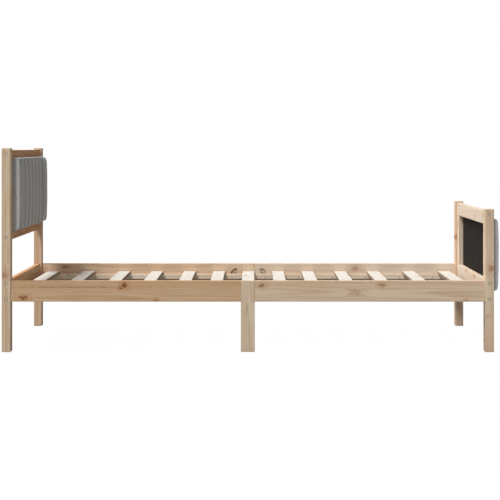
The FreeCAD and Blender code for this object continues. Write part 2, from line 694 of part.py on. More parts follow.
# Footboard
foot_bolts = [f"{FOOT_TOP_RAIL} + {HIGH_IN_CROSS_RAIL}"]
foot_bolts += [f"rail_bottom + {level}" for level in END_RAIL_BOLTS]
foot_dowels = [f"{FOOT_TOP_RAIL} + {LOW_IN_CROSS_RAIL}"]
mirrored("foot_post_left", post("foot_post_right", "foot_height", FOOT_X, False, foot_bolts, foot_dowels))
cross_rail("foot_top_rail", FOOT_X, FOOT_TOP_RAIL, "cross_rail_height", False, [HIGH_IN_CROSS_RAIL],
           [LOW_IN_CROSS_RAIL], ["0"], [FOOT_SCREWS[0]])
cross_rail("foot_end_rail", FOOT_X, "rail_bottom", "rail_height", False, END_RAIL_BOLTS, (),
           [f"rail_height - {DOWEL_SOCKET}"], [FOOT_SCREWS[1]])
mirrored("foot_stile_left", stile("foot_stile_right", FOOT_X, RAIL_TOP, FOOT_TOP_RAIL))
pad("foot", FOOT_X, FOOT_PAD, FOOT_SCREWS)

# Sides and slats
head_rail, foot_rail = side_rail("side_rail_right_head", False), side_rail("side_rail_left_foot", True)
mirrored("side_rail_left_head", head_rail)
mirrored("side_rail_right_foot", foot_rail)
head_ledger, foot_ledger = ledger("slat_ledger_right_head", False), ledger("slat_ledger_left_foot", True)
mirrored("slat_ledger_left_head", head_ledger)
mirrored("slat_ledger_right_foot", foot_ledger)
mirrored("middle_leg_left", middle_leg("middle_leg_right"))
for slat_number, slat_offset in enumerate(slat_offsets(), start=1):
    slat(f"slat_{slat_number:02d}", slat_offset)
doc.recompute()

# Fasteners
frame_bolt, rail_bolt = bolt("frame_bolt", "post_depth"), bolt("rail_bolt", "post_breadth")
nut, wooden_dowel = barrel_nut(), dowel()
frame_fasteners("head", HEAD_X, head_bolts, frame_bolt, nut)
frame_fasteners("foot", FOOT_X, foot_bolts, frame_bolt, nut)
rail_fasteners(rail_bolt, nut, wooden_dowel)
frame_dowels(wooden_dowel)
leg_fasteners()
pad_screws()
doc.recompute()

faulty = [item.Label for item in doc.Objects if {"Invalid", "Error"} & set(item.State)]
faulty += [piece.Label for piece in subparts if piece.Shape.isNull() or not piece.Shape.isValid()]
if faulty:
    raise RuntimeError("faulty objects: " + ", ".join(faulty))

os.makedirs("parts", exist_ok=True)
for piece in subparts:
    piece.Shape.exportStep(f"parts/{piece.Label}.step")
print(len(subparts), "pieces written")
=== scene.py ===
"""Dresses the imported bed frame: pine boards, channelled pads, cloth backs, small screws and a plain studio.

Every length is in metres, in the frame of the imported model: X runs from the headboard to the
footboard, Y away from the camera and Z up from the floor.
"""

import logging
import math
import random
from collections.abc import Callable
from dataclasses import dataclass
from enum import Enum

import bmesh
import bpy
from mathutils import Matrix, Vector, noise


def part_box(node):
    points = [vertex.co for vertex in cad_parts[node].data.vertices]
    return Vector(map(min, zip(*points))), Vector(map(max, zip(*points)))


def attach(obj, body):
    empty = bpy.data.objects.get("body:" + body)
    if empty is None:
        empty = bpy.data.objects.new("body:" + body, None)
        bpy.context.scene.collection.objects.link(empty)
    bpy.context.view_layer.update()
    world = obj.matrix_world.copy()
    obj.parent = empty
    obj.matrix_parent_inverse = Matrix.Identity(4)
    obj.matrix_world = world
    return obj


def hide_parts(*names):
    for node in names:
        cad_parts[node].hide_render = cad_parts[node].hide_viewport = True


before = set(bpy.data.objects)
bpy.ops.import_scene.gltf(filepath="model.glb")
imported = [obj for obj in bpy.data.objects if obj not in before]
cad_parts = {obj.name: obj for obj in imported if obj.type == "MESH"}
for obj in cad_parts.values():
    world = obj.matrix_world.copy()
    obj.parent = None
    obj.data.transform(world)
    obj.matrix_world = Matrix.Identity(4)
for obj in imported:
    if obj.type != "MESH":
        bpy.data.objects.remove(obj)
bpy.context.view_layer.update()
BODY = "root"
# Name of the point attribute that carries the painted shade in the pads' seams.
PAINTED_SEAM_SHADE = "pressed"
# Numbers that differ by less than HAIR count as equal, and points closer than WELD as one.
HAIR = 1e-4
WELD = 1e-5
LOG = logging.getLogger("bed")

Socket = bpy.types.NodeSocket
Colour = tuple[float, float, float]
Inputs = dict[str, float | Socket]


def paint(red: int, green: int, blue: int) -> Colour:
    """Turns a colour as a screen shows it, 0 to 255, into the linear one that shaders take.

    Args:
        red: Red as shown.
        green: Green as shown.
        blue: Blue as shown.

    Returns:
        The linear colour, 0 to 1.
    """
    shown = [part / 255 for part in (red, green, blue)]
    return tuple(part / 12.92 if part <= 0.04045 else ((part + 0.055) / 1.055) ** 2.4 for part in shown)


class Along(Enum):
    """The direction of a board's grain, with the letters of grain, face and thickness axes."""

    RAIL = "xzy"
    CROSS_RAIL = "yzx"
    SLAT = "yxz"
    POST = "zxy"
    STILE = "zyx"


class End(Enum):
    """The two ends of the bed."""

    HEAD = "head"
    FOOT = "foot"


class NodeSheet:
    """Adds nodes to one tree and wires them."""

    def __init__(self, tree: bpy.types.NodeTree) -> None:
        """Keeps the tree that the nodes go into."""
        self.tree = tree

    def add(self, kind: str, inputs: dict | None = None, **settings: object) -> bpy.types.Node:
        """Adds one node.

        Args:
            kind: Blender's name for the node type.
            inputs: Values or sockets for its inputs, by name or number.
            settings: Properties of the node.

        Returns:
            The new node.
        """
        node = self.tree.nodes.new(kind)
        for name, value in settings.items():
            setattr(node, name, value)
        for key, value in (inputs or {}).items():
            self.feed(node.inputs[key], value)
        return node

    def feed(self, target: Socket, value: object) -> None:
        """Wires an input to a socket, or sets it to a value.

        Args:
            target: The input.
            value: A socket or a plain value.
        """
        if isinstance(value, Socket):
            self.tree.links.new(value, target)
        else:
            target.default_value = value

    def math(self, operation: str, *values: float | Socket) -> Socket:
        """Does one sum on one to three numbers.

        Args:
            operation: Blender's name for the sum.
            values: Numbers or sockets.

        Returns:
            The socket with the result.
        """
        return self.add("ShaderNodeMath", dict(enumerate(values)), operation=operation).outputs[0]

    def vector(self, operation: str, *values: tuple | Socket) -> bpy.types.Node:
        """Adds a sum on vectors and gives its node, which has a vector and a number as outputs."""
        return self.add("ShaderNodeVectorMath", dict(enumerate(values)), operation=operation)

    def triple(self, x: float | Socket, y: float | Socket, z: float | Socket) -> Socket:
        """Joins three numbers into a vector."""
        return self.add("ShaderNodeCombineXYZ", {0: x, 1: y, 2: z}).outputs[0]

    def between(self, share: Socket, first: float | Socket, second: float | Socket) -> Socket:
        """A number that goes from the first to the second as the share goes from 0 to 1."""
        return self.math("MULTIPLY_ADD", share, self.math("SUBTRACT", second, first), first)

    def spread(self, value: Socket, low: float, high: float,
               start: float = 0.0, end: float = 1.0) -> Socket:
        """Maps a number from low..high to start..end with soft ends.

        Args:
            value: The number.
            low: Where the result is start.
            high: Where the result is end.
            start: First result.
            end: Last result.

        Returns:
            The socket with the result.
        """
        inputs = {0: value, 1: low, 2: high, 3: start, 4: end}
        return self.add("ShaderNodeMapRange", inputs, interpolation_type="SMOOTHSTEP").outputs[0]

    def split(self, vector: Socket) -> list[Socket]:
        """The three numbers of a vector."""
        return list(self.add("ShaderNodeSeparateXYZ", {0: vector}).outputs)

    def cloud(self, place: Socket, scale: float, detail: float = 2.0,
              stretch: tuple[float, float, float] | None = None) -> Socket:
        """Soft noise from 0 to 1 at a place, whose three numbers can be multiplied first.

        Args:
            place: Where the noise is read.
            scale: Its waves a metre.
            detail: Its finer layers.
            stretch: What the place's numbers are multiplied by, if at all.

        Returns:
            The socket with the noise.
        """
        if stretch:
            place = self.vector("MULTIPLY", place, stretch).outputs[0]
        inputs = {"Vector": place, "Scale": scale, "Detail": detail}
        return self.add("ShaderNodeTexNoise", inputs).outputs[0]

    def blend(self, share: float | Socket, first: Colour | Socket, second: Colour | Socket) -> Socket:
        """Mixes two colours.

        Args:
            share: How much of the second shows.
            first: First colour.
            second: Second colour.

        Returns:
            The socket with the mixed colour.
        """
        first, second = (item if isinstance(item, Socket) else (*item, 1.0) for item in (first, second))
        inputs = {0: share, 6: first, 7: second}
        return self.add("ShaderNodeMix", inputs, data_type="RGBA").outputs[2]

    def bump(self, height: Socket, strength: float, distance: float) -> Socket:
        """A normal that stands for small relief."""
        inputs = {"Height": height, "Strength": strength, "Distance": distance}
        return self.add("ShaderNodeBump", inputs).outputs[0]


class Finish:
    """What all finishes share: a material whose surface shader gets what the finish works out."""

    def material(self, name: str) -> bpy.types.Material:
        """Builds the material.

        Args:
            name: Name of the material.

        Returns:
            The material, on object coordinates.
        """
        material = bpy.data.materials.new(name)
        material.use_nodes = True
        sheet = NodeSheet(material.node_tree)
        shader = material.node_tree.nodes["Principled BSDF"]
        place = sheet.add("ShaderNodeTexCoord").outputs["Object"]
        for key, value in self.surface(sheet, place).items():
            sheet.feed(shader.inputs[key.replace("_", " ")], value)
        return material

    def surface(self, sheet: NodeSheet, place: Socket) -> Inputs:
        """Works out the inputs of the surface shader.

        Args:
            sheet: The material's nodes.
            place: The place on the object.

        Returns:
            Values or sockets by the inputs' names, with underscores for the spaces in them.
        """
        raise NotImplementedError


@dataclass(frozen=True)
class Knot:
    """A knot or a resin streak in the face of a board, at its place along and across the grain."""

    along: float
    across: float
    size: float = 0.010
    stretch: float = 1.3
    dark: float = 1.0


class Figure(Enum):
    """Figures in pine: how much a length along the grain counts, and the waves a metre across it."""

    RAGGED = (0.6, 150.0)
    FIBRES = (0.02, 700.0)
    STREAKS = (0.035, 105.0)
    PATCHES = (0.16, 13.0)
    WANDER = (0.07, 16.0)


@dataclass(frozen=True)
class GrainSpace:
    """Places in a board by its grain: along it, across the face and through the thickness."""

    sheet: NodeSheet
    along: Socket
    across: Socket
    through: Socket
    offset: tuple[float, ...]

    def figure(self, kind: Figure) -> Socket:
        """Noise from 0 to 1 that is drawn out along the grain, shifted to make each board its own.

        Args:
            kind: Which figure of the wood it makes.

        Returns:
            The socket with the noise.
        """
        shrink, scale = kind.value
        sheet = self.sheet
        place = sheet.triple(self.across, self.through, sheet.math("MULTIPLY", self.along, shrink))
        return sheet.cloud(sheet.vector("ADD", place, self.offset).outputs[0], scale, 3.0)


@dataclass(frozen=True)
class PineFinish(Finish):
    """Planed pine with growth rings, fibres, soft streaks and knots, cut as one board."""

    grain: Along
    pale: Colour
    warm: Colour
    late: Colour
    seed: int
    pith: tuple[float, float] = (0.0, 0.0)
    knots: tuple[Knot, ...] = ()
    # Painted shade on the faces that look across the grain: how strong it is, and its colour.
    edge_shade: float = 0.0
    edge_shade_colour: Colour = paint(172, 150, 126)
    halo_colour: Colour = paint(196, 140, 92)
    core_colours: tuple[Colour, Colour] = (paint(150, 86, 46), paint(104, 52, 24))
    ring_width: float = 0.0052
    ring_contrast: float = 0.42
    ring_lean: float = 0.012
    ring_wander: float = 0.022
    ring_bend: float = 0.012
    streak_contrast: float = 0.5
    fibre_contrast: float = 0.22
    halo_contrast: float = 0.55
    core_contrast: float = 0.85
    knot_raggedness: float = 0.45

    def surface(self, sheet: NodeSheet, place: Socket) -> Inputs:
        """Rings, fibres, streaks and patches in three tones, then knots and painted shade on the edges.

        Args:
            sheet: The material's nodes.
            place: The place on the object.

        Returns:
            The inputs of the surface shader.
        """
        luck = random.Random(self.seed)
        parts = sheet.split(place)
        along, across, through = (parts["xyz".index(letter)] for letter in self.grain.value)
        space = GrainSpace(sheet, along, across, through, tuple(luck.uniform(-9, 9) for _ in range(3)))
        cores, halos = self.knot_masks(space)
        rings = self.rings(space, halos)
        fibres, streaks, patches = map(space.figure, (Figure.FIBRES, Figure.STREAKS, Figure.PATCHES))

        colour = sheet.blend(sheet.spread(patches, 0.3, 0.7), self.pale, self.warm)
        colour = sheet.blend(sheet.math("MULTIPLY", rings, self.ring_contrast), colour, self.late)
        colour = sheet.blend(sheet.spread(streaks, 0.5, 0.78, 0.0, self.streak_contrast), colour, self.late)
        colour = sheet.blend(sheet.spread(fibres, 0.35, 0.8, 0.0, self.fibre_contrast), colour, self.late)
        if self.knots:
            halo_share = sheet.math("MULTIPLY", halos, self.halo_contrast)
            colour = sheet.blend(halo_share, colour, self.halo_colour)
            core_rings = sheet.blend(sheet.spread(rings, 0.2, 0.9), *self.core_colours)
            colour = sheet.blend(cores, colour, core_rings)
        # Painted shade: faces turned across the grain, such as the slats' long edges, take a darker, warmer
        # colour.
        if self.edge_shade:
            normal = sheet.split(sheet.add("ShaderNodeNewGeometry").outputs["Normal"])
            sideways = sheet.math("ABSOLUTE", normal["xyz".index(self.grain.value[1])])
            edge_shade_share = sheet.spread(sideways, 0.6, 0.95, 0.0, self.edge_shade)
            colour = sheet.blend(edge_shade_share, colour, self.edge_shade_colour)

        relief = sheet.math("ADD", sheet.math("MULTIPLY", fibres, 0.6), sheet.math("MULTIPLY", rings, 0.4))
        roughness = sheet.spread(fibres, 0.2, 0.8, 0.5, 0.66)
        return dict(Base_Color=colour, Roughness=roughness, Specular_IOR_Level=0.0,
                    Normal=sheet.bump(relief, 0.35, 0.0004))

    def rings(self, space: GrainSpace, halos: Socket | None) -> Socket:
        """Growth rings about a pith line beside the board, which bend round the knots.

        Args:
            space: Places in the board.
            halos: How near a knot is, or None.

        Returns:
            The socket with the share of late wood, 0 to 1.
        """
        sheet = space.sheet
        lean = sheet.math("MULTIPLY_ADD", space.along, self.ring_lean, -self.pith[0])
        beyond = sheet.math("SUBTRACT", space.through, self.pith[1])
        from_pith = sheet.triple(sheet.math("ADD", space.across, lean), beyond, 0.0)
        radius = sheet.vector("LENGTH", from_pith).outputs["Value"]
        radius = sheet.math("MULTIPLY_ADD", space.figure(Figure.WANDER), self.ring_wander, radius)
        if halos is not None:
            radius = sheet.math("MULTIPLY_ADD", halos, self.ring_bend, radius)
        ring = sheet.math("FRACT", sheet.math("DIVIDE", radius, self.ring_width))
        rise = sheet.spread(ring, 0.25, 0.86)
        fall = sheet.spread(ring, 0.9, 1.0, 1.0, 0.0)
        return sheet.math("MULTIPLY", rise, fall)

    def knot_masks(self, space: GrainSpace) -> tuple[Socket | None, Socket | None]:
        """Where the knots are and how near they are.

        Args:
            space: Places in the board.

        Returns:
            The sockets with the knots' cores and with the wood that bends round them, or None twice.
        """
        sheet = space.sheet
        most = self.knot_raggedness
        ragged = sheet.spread(space.figure(Figure.RAGGED), 0.25, 0.75, -most, most)
        cores, halos = None, None
        for knot in self.knots:
            run = sheet.math("SUBTRACT", space.along, knot.along)
            rise = sheet.math("SUBTRACT", space.across, knot.across)
            away = sheet.triple(sheet.math("DIVIDE", run, knot.size * knot.stretch),
                                sheet.math("DIVIDE", rise, knot.size), 0.0)
            reach = sheet.math("ADD", sheet.vector("LENGTH", away).outputs["Value"], ragged)
            core = sheet.spread(reach, 1.0, 0.6, 0.0, self.core_contrast * knot.dark)
            halo = sheet.spread(reach, 3.2, 0.6, 0.0, knot.dark)
            cores = core if cores is None else sheet.math("MAXIMUM", cores, core)
            halos = halo if halos is None else sheet.math("MAXIMUM", halos, halo)
        return cores, halos


@dataclass(frozen=True)
class PlywoodFinish(Finish):
    """Birch plywood with its plies across the thickness of the pad boards."""

    ply: float = 0.0015

    def surface(self, sheet: NodeSheet, place: Socket) -> Inputs:
        """Fine fibres over plies that are stacked along X.

        Args:
            sheet: The material's nodes.
            place: The place on the object.

        Returns:
            The inputs of the surface shader.
        """
        plies = sheet.math("FRACT", sheet.math("DIVIDE", sheet.split(place)[0], 2 * self.ply))
        fibres = sheet.cloud(place, 1.0, 3.0, (40.0, 400.0, 12.0))
        face = sheet.blend(fibres, paint(222, 200, 165), paint(196, 166, 124))
        colour = sheet.blend(sheet.spread(plies, 0.45, 0.55, 0.0, 0.4), face, paint(160, 122, 80))
        return dict(Base_Color=colour, Roughness=0.6, Normal=sheet.bump(fibres, 0.2, 0.0003))


@dataclass(frozen=True)
class BeechFinish(Finish):
    """Beech dowels with short dark flecks."""

    def surface(self, sheet: NodeSheet, place: Socket) -> Inputs:
        """Two tones with dark flecks.

        Args:
            sheet: The material's nodes.
            place: The place on the object.

        Returns:
            The inputs of the surface shader.
        """
        flecks = sheet.cloud(place, 900.0, 2.0)
        tone = sheet.cloud(place, 60.0, 2.0)
        colour = sheet.blend(tone, paint(222, 184, 148), paint(204, 160, 122))
        colour = sheet.blend(sheet.spread(flecks, 0.6, 0.7, 0.0, 0.6), colour, paint(150, 104, 72))
        return dict(Base_Color=colour, Roughness=0.55, Normal=sheet.bump(flecks, 0.2, 0.0002))


@dataclass(frozen=True)
class PadFabricFinish(Finish):
    """Light grey upholstery fabric in plain weave, with lighter and darker yarns."""

    light: Colour = paint(211, 211, 210)
    dark: Colour = paint(183, 183, 182)
    deep: Colour = paint(114, 113, 111)
    # How far the painted shade darkens the fabric in the seams.
    seam_shade: float = 0.55
    thread: float = 0.0014

    def surface(self, sheet: NodeSheet, place: Socket) -> Inputs:
        """A weave that follows the two axes a face lies along, with slubs and painted shade in the seams.

        Args:
            sheet: The material's nodes.
            place: The place on the object.

        Returns:
            The inputs of the surface shader.
        """
        normal = sheet.add("ShaderNodeNewGeometry").outputs["Normal"]
        facing = sheet.split(sheet.vector("MULTIPLY", normal, normal).outputs[0])
        turn = math.pi / self.thread
        waves = [sheet.math("SINE", sheet.math("MULTIPLY", part, turn)) for part in sheet.split(place)]
        weave = 0.0
        for axis, (first, second) in enumerate(((1, 2), (0, 2), (0, 1))):
            cross = sheet.math("MULTIPLY", waves[first], waves[second])
            weave = sheet.math("MULTIPLY_ADD", cross, facing[axis], weave)
        yarns = sheet.cloud(place, 520.0, 3.0, (1.0, 1.0, 0.12))
        slubs = sheet.cloud(place, 420.0, 3.0, (0.3, 0.2, 1.0))
        worn = sheet.cloud(place, 9.0, 2.0)
        colour = sheet.blend(sheet.spread(yarns, 0.35, 0.68), self.light, self.dark)
        colour = sheet.blend(sheet.spread(slubs, 0.48, 0.75, 0.0, 0.3), colour, self.dark)
        colour = sheet.blend(sheet.spread(weave, -0.9, 0.5, 0.22, 0.0), colour, self.deep)
        colour = sheet.blend(sheet.spread(worn, 0.35, 0.75, 0.0, 0.12), colour, self.light)
        # Painted shade: the fabric darkens towards each seam, where the swelling channels shade it.
        pressed = sheet.add("ShaderNodeAttribute", attribute_name=PAINTED_SEAM_SHADE).outputs["Fac"]
        colour = sheet.blend(sheet.math("MULTIPLY", pressed, self.seam_shade), colour, self.deep)
        relief = sheet.math("MULTIPLY_ADD", yarns, 0.5, weave)
        return dict(Base_Color=colour, Roughness=0.92, Specular_IOR_Level=0.02,
                    Sheen_Weight=0.35, Sheen_Roughness=0.4, Normal=sheet.bump(relief, 0.5, 0.0005))


@dataclass(frozen=True)
class DustClothFinish(Finish):
    """Thin dark non-woven cloth with embossed dots."""

    dot_pitch: float = 0.0024

    def surface(self, sheet: NodeSheet, place: Socket) -> Inputs:
        """Dark fluff with embossed dots.

        Args:
            sheet: The material's nodes.
            place: The place on the object.

        Returns:
            The inputs of the surface shader.
        """
        turn = math.pi / self.dot_pitch
        waves = [sheet.math("SINE", sheet.math("MULTIPLY", part, turn)) for part in sheet.split(place)]
        dots = sheet.math("MULTIPLY", waves[1], waves[2])
        fluff = sheet.cloud(place, 260.0, 4.0)
        broad = sheet.cloud(place, 14.0, 2.0)
        colour = sheet.blend(fluff, paint(36, 33, 30), paint(50, 46, 43))
        colour = sheet.blend(sheet.spread(broad, 0.35, 0.7, 0.0, 0.35), colour, paint(54, 50, 46))
        colour = sheet.blend(sheet.spread(dots, 0.4, 0.9, 0.0, 0.5), colour, paint(28, 25, 23))
        relief = sheet.math("SUBTRACT", fluff, dots)
        return dict(Base_Color=colour, Roughness=0.88, Specular_IOR_Level=0.02,
                    Normal=sheet.bump(relief, 0.35, 0.0003))


@dataclass(frozen=True)
class ZincFinish(Finish):
    """Zinc-plated steel, slightly dulled and scratched."""

    bright: Colour = paint(184, 174, 158)
    dull: Colour = paint(146, 136, 120)

    def surface(self, sheet: NodeSheet, place: Socket) -> Inputs:
        """Dull patches and fine scratches.

        Args:
            sheet: The material's nodes.
            place: The place on the object.

        Returns:
            The inputs of the surface shader.
        """
        spangle = sheet.cloud(place, 700.0, 3.0)
        scratches = sheet.cloud(place, 1500.0, 2.0, (3.0, 1.0, 0.2))
        colour = sheet.blend(sheet.spread(spangle, 0.35, 0.7), self.bright, self.dull)
        roughness = sheet.spread(scratches, 0.3, 0.75, 0.42, 0.6)
        return dict(Base_Color=colour, Metallic=1.0, Roughness=roughness,
                    Normal=sheet.bump(scratches, 0.15, 0.0001))


@dataclass(frozen=True)
class ThreadFinish(Finish):
    """Twisted grey sewing thread."""

    colour: Colour = paint(150, 149, 146)

    def surface(self, sheet: NodeSheet, place: Socket) -> Inputs:
        """Two greys along the twist.

        Args:
            sheet: The material's nodes.
            place: The place on the object.

        Returns:
            The inputs of the surface shader.
        """
        twist = sheet.cloud(place, 1800.0, 1.0, (1.0, 1.0, 2.5))
        colour = sheet.blend(twist, self.colour, paint(118, 117, 114))
        return dict(Base_Color=colour, Roughness=0.7, Normal=sheet.bump(twist, 0.3, 0.0002))


def show(name: str, data: bpy.types.ID) -> bpy.types.Object:
    """Adds an object with that data to the scene.

    Args:
        name: Name of the object.
        data: Its mesh, light or camera.

    Returns:
        The new object.
    """
    thing = bpy.data.objects.new(name, data)
    bpy.context.scene.collection.objects.link(thing)
    return thing


def shade_smooth(mesh: bpy.types.Mesh) -> None:
    """Lets light run smoothly over every face."""
    for polygon in mesh.polygons:
        polygon.use_smooth = True


class GeometryRecipe:
    """A Geometry Nodes tree with named inputs, which is run once and turned into a plain mesh."""

    def __init__(self, name: str) -> None:
        """Starts a tree of that name with a geometry and a material as inputs.

        Args:
            name: Name of the tree.
        """
        self.tree = bpy.data.node_groups.new(name, "GeometryNodeTree")
        self.sheet = NodeSheet(self.tree)
        self.identifiers: dict[str, str] = {}
        self.tree.interface.new_socket("Geometry", in_out="OUTPUT", socket_type="NodeSocketGeometry")
        self.tree.interface.new_socket("Geometry", in_out="INPUT", socket_type="NodeSocketGeometry")
        self.start = self.tree.nodes.new("NodeGroupInput")
        self.end = self.tree.nodes.new("NodeGroupOutput")
        self.finish_socket = self.ask("Finish", "Material")

    def ask(self, name: str, kind: str = "Float") -> Socket:
        """Adds a named input.

        Args:
            name: Name of the input.
            kind: Blender's name for its kind, without the prefix.

        Returns:
            The socket that carries it.
        """
        socket = self.tree.interface.new_socket(name, in_out="INPUT", socket_type=f"NodeSocket{kind}")
        self.identifiers[name] = socket.identifier
        return self.start.outputs[name]

    def close(self, geometry: Socket) -> None:
        """Ends the tree: instances become mesh and get the finish.

        Args:
            geometry: What the tree has made.
        """
        real = self.sheet.add("GeometryNodeRealizeInstances", {0: geometry})
        painted = self.sheet.add("GeometryNodeSetMaterial", {"Geometry": real.outputs[0],
                                                             "Material": self.finish_socket})
        self.tree.links.new(painted.outputs[0], self.end.inputs[0])

    def make(self, name: str, source: bpy.types.Mesh, finish: bpy.types.Material,
             **settings: object) -> bpy.types.Object:
        """Runs the tree on a mesh.

        Args:
            name: Name of the new piece.
            source: The mesh that goes in.
            finish: The piece's material.
            settings: Values of the named inputs, with underscores for spaces.

        Returns:
            An object with the result as a plain mesh.
        """
        piece = show(name, source)
        modifier = piece.modifiers.new("Recipe", "NODES")
        modifier.node_group = self.tree
        modifier[self.identifiers["Finish"]] = finish
        for key, value in settings.items():
            modifier[self.identifiers[key.replace("_", " ")]] = value
        evaluated = piece.evaluated_get(bpy.context.evaluated_depsgraph_get())
        result = bpy.data.meshes.new_from_object(evaluated)
        result.materials.clear()
        result.materials.append(finish)
        piece.modifiers.remove(modifier)
        piece.data = result
        return piece


def register(piece: bpy.types.Object, slot: str, *nodes: str) -> None:
    """Puts a finished piece on the bed's body.

    Args:
        piece: The piece, at the origin.
        slot: Not used.
        nodes: CAD nodes that the piece stands for.
    """
    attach(piece, BODY)
    if nodes:
        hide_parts(*nodes)
    LOG.info("piece %s, %d faces", piece.name, len(piece.data.polygons))


def dress(node: str, material: bpy.types.Material) -> None:
    """Gives a CAD node its finish.

    Args:
        node: Name of the node.
        material: The finish.
    """
    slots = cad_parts[node].data.materials
    slots.clear()
    slots.append(material)
    LOG.info("node %s in %s", node, material.name)


class Tone(Enum):
    """The tones of pine in the bed: pale wood, warm wood and late wood."""

    FRESH = (paint(230, 211, 185), paint(224, 199, 169), paint(196, 159, 123))
    HONEY = (paint(222, 193, 160), paint(217, 180, 142), paint(184, 139, 100))
    PEARL = (paint(229, 217, 200), paint(228, 208, 186), paint(204, 173, 144))
    # A paler pine for the ledgers, lighter than their wood so that it paints in light they don't get.
    IVORY = (paint(246, 230, 208), paint(243, 222, 196), paint(222, 190, 158))
    ROSY = (paint(225, 200, 172), paint(225, 194, 164), paint(195, 153, 121))
    CREAM = (paint(231, 227, 220), paint(229, 221, 210), paint(218, 206, 190))
    # A darker, more orange pine that paints the shade and warm bounce light on the headboard's rails into
    # their colour.
    TOAST = (paint(221, 182, 147), paint(216, 168, 127), paint(183, 128, 87))


@dataclass
class Board:
    """One board of the bed and how it is cut."""

    node: str
    grain: Along
    tone: Tone = Tone.FRESH
    knots: tuple[Knot, ...] = ()
    # Strength of the painted shade on the faces across the grain.
    edge_shade: float = 0.0

    def finish(self, seed: int) -> None:
        """Dresses the board's node in pine that is its own.

        Args:
            seed: Number that sets the board's rings, streaks and chance knots.
        """
        luck = random.Random(seed)
        low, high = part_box(self.node)
        centre, size = (low + high) / 2, high - low
        along, across, through = ("xyz".index(letter) for letter in self.grain.value)
        side = luck.choice((-1, 1))
        pith = (centre[across] + luck.uniform(-0.5, 0.5) * size[across],
                centre[through] + side * (size[through] / 2 + luck.uniform(0.01, 0.05)))
        knots = list(self.knots)
        for _ in range(luck.randint(0, 2) if not knots else 0):
            knots.append(Knot(centre[along] + luck.uniform(-0.45, 0.45) * size[along],
                              centre[across] + luck.uniform(-0.4, 0.4) * size[across],
                              luck.uniform(0.004, 0.008), luck.uniform(1.0, 1.6), luck.uniform(0.4, 0.8)))
        pale, warm, late = self.tone.value
        finish = PineFinish(self.grain, pale, warm, late, seed, pith, tuple(knots), self.edge_shade)
        dress(self.node, finish.material(f"pine_{self.node}"))


@dataclass
class WoodenFrame:
    """Posts, rails, stiles, legs and ledgers of both ends and both sides."""

    first_seed: int = 11

    def boards(self) -> list[Board]:
        """All boards of the frame, with the knots that show on them.

        Returns:
            The boards, in the order of their seeds.
        """
        boards = [
            Board("head_post_right", Along.POST, Tone.FRESH, (Knot(0.325, -1.040, 0.012, 1.6, 0.45),)),
            Board("head_post_left", Along.POST, Tone.ROSY),
            Board("foot_post_right", Along.POST, Tone.FRESH,
                  (Knot(0.352, 1.012, 0.011, 1.5, 0.6), Knot(0.150, 0.996, 0.004, 1.4, 0.4))),
            Board("foot_post_left", Along.POST, Tone.ROSY, (Knot(0.430, 0.988, 0.007, 1.5, 0.7),)),
            Board("side_rail_right_head", Along.RAIL, Tone.HONEY,
                  (Knot(-0.535, 0.281, 0.011, 1.2, 1.0), Knot(-0.552, 0.270, 0.006, 1.6, 0.9),
                   Knot(-0.963, 0.229, 0.010, 1.9, 0.75), Knot(-0.402, 0.218, 0.005, 1.5, 1.0),
                   Knot(-0.780, 0.273, 0.0020, 120.0, 0.55))),
            Board("side_rail_right_foot", Along.RAIL, Tone.FRESH,
                  (Knot(0.046, 0.280, 0.008, 1.7, 0.7), Knot(0.552, 0.283, 0.010, 1.5, 0.5),
                   Knot(0.442, 0.252, 0.013, 1.9, 0.25), Knot(0.905, 0.214, 0.005, 1.4, 0.7))),
            Board("side_rail_left_head", Along.RAIL, Tone.ROSY, (Knot(-0.905, 0.286, 0.008, 1.6, 0.6),)),
            Board("side_rail_left_foot", Along.RAIL, Tone.PEARL, (Knot(0.503, 0.276, 0.013, 1.3, 0.45),)),
            # The headboard's rails take the darker tone, which is painted shade.
            Board("head_end_rail", Along.CROSS_RAIL, Tone.TOAST),
            Board("head_pad_rail", Along.CROSS_RAIL, Tone.TOAST),
            Board("head_top_rail", Along.CROSS_RAIL, Tone.TOAST),
            Board("foot_end_rail", Along.CROSS_RAIL, Tone.PEARL,
                  (Knot(0.132, 0.295, 0.008, 2.2, 0.55), Knot(-0.121, 0.291, 0.007, 2.6, 0.45))),
            Board("foot_top_rail", Along.CROSS_RAIL, Tone.PEARL),
            Board("middle_leg_right", Along.POST, Tone.FRESH, (Knot(0.180, -0.018, 0.0025, 6.0, 0.35),)),
            Board("middle_leg_left", Along.POST),
        ]
        for end in End:
            for side in ("right", "left"):
                boards.append(Board(f"{end.value}_stile_{side}", Along.STILE, Tone.PEARL))
                # The ledgers take the paler tone, which is painted light.
                boards.append(Board(f"slat_ledger_{side}_{end.value}", Along.RAIL, Tone.IVORY))
        return boards

    def build(self) -> None:
        """Dresses every board."""
        for number, board in enumerate(self.boards()):
            board.finish(self.first_seed + number)


